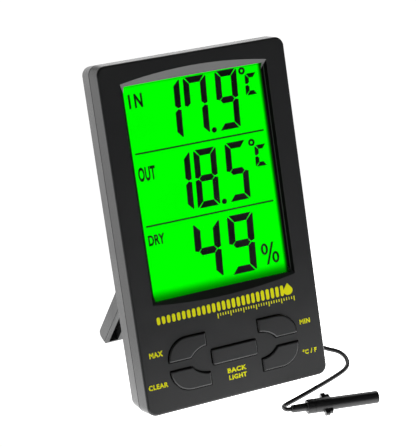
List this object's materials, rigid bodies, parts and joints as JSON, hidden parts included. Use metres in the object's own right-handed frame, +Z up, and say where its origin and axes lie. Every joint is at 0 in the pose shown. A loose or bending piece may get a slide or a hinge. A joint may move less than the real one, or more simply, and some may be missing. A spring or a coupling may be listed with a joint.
{
  "type": "maximum minimum thermometer",
  "caption": "Slim table-top maximum minimum thermometer with a tall back-lit display, keys, a fold-out rear stand and a wired outdoor probe.",
  "frame": {"origin": "on the floor, under the middle of the object's box without the cord", "axes": "+Z up, +X to the right seen from the front, +Y from the front towards the back"},
  "size_m": [0.1033, 0.1025, 0.1404],
  "materials": {
    "front_shell": "fine satin grain",
    "rear_shell": "satin",
    "steel": "plated",
    "clear_window": "clear, glossy",
    "polariser": "clear film",
    "lcd_glass": "clear",
    "acrylic": "back-lit green",
    "white_plastic": "moulded",
    "circuit_board": "solder mask",
    "film": "printed film",
    "black_epoxy": "cast epoxy",
    "bright_metal": "nickel plate",
    "switch_plastic": "moulded",
    "cell_jacket": "printed sleeve on steel",
    "cord_rubber": "satin",
    "probe_plastic": "semi-gloss"
  },
  "bodies": {
    "case": {"front_case": "front_shell", "rear_case": "rear_shell", "case_screws": "steel", "retainer_screws": "steel", "board_screws": "steel", "sensor_screws": "steel", "stand_pins": "steel", "display_window": "clear_window", "lcd_front_polariser": "polariser", "lcd_rear_polariser": "polariser", "lcd_front_glass": "lcd_glass", "lcd_rear_glass": "lcd_glass", "light_guide": "acrylic", "backlight_reflector": "white_plastic", "backlight_leds": "white_plastic", "lcd_retainer": "white_plastic", "humidity_sensor": "white_plastic", "probe_connector": "white_plastic", "led_board": "circuit_board", "main_board": "circuit_board", "sensor_board": "circuit_board", "lcd_flex": "film", "sensor_ribbon": "film", "controller_chip": "black_epoxy", "air_thermistor": "black_epoxy", "probe_thermistor": "black_epoxy", "capacitors": "black_epoxy", "crystal": "bright_metal", "battery_bridge_contact": "bright_metal", "battery_end_contacts": "bright_metal", "tact_switches": "switch_plastic", "battery_cells": "cell_jacket", "cord_gland": "cord_rubber", "probe_lead_inside": "cord_rubber", "cord_coil": "cord_rubber", "cord_tie": "cord_rubber", "probe_cord_out": "cord_rubber", "probe_cord_on": "cord_rubber", "probe_boot": "cord_rubber", "probe_collar": "probe_plastic", "probe_sleeve": "probe_plastic"},
    "stand": {"stand": "rear_shell"},
    "battery_door": {"battery_door": "rear_shell"},
    "key_max": {"button_max": "front_shell", "plunger_max": "switch_plastic"},
    "key_clear": {"button_clear": "front_shell", "plunger_clear": "switch_plastic"},
    "key_light": {"button_light": "front_shell", "plunger_light": "switch_plastic"},
    "key_min": {"button_min": "front_shell", "plunger_min": "switch_plastic"},
    "key_unit": {"button_unit": "front_shell", "plunger_unit": "switch_plastic"}
  },
  "joints": [
    {"name": "stand_fold", "type": "hinge", "parent": "case", "child": "stand", "pos_m": [0, 0.00033, 0.05253], "axis": [-1, 0, 0], "range_deg": [0, 53.9]},
    {"name": "battery_door_swing", "type": "hinge", "parent": "case", "child": "battery_door", "pos_m": [0, -0.0168, 0.0117], "axis": [-1, 0, 0], "range_deg": [0, 45]},
    {"name": "key_max_press", "type": "slide", "parent": "case", "child": "key_max", "axis": [0, 0.8988, -0.4384], "range_m": [0, 0.0006], "stiffness_N_per_m": 800},
    {"name": "key_clear_press", "type": "slide", "parent": "case", "child": "key_clear", "axis": [0, 0.8988, -0.4384], "range_m": [0, 0.0006], "stiffness_N_per_m": 800},
    {"name": "key_light_press", "type": "slide", "parent": "case", "child": "key_light", "axis": [0, 0.8988, -0.4384], "range_m": [0, 0.0006], "stiffness_N_per_m": 800},
    {"name": "key_min_press", "type": "slide", "parent": "case", "child": "key_min", "axis": [0, 0.8988, -0.4384], "range_m": [0, 0.0006], "stiffness_N_per_m": 800},
    {"name": "key_unit_press", "type": "slide", "parent": "case", "child": "key_unit", "axis": [0, 0.8988, -0.4384], "range_m": [0, 0.0006], "stiffness_N_per_m": 800}
  ]
}
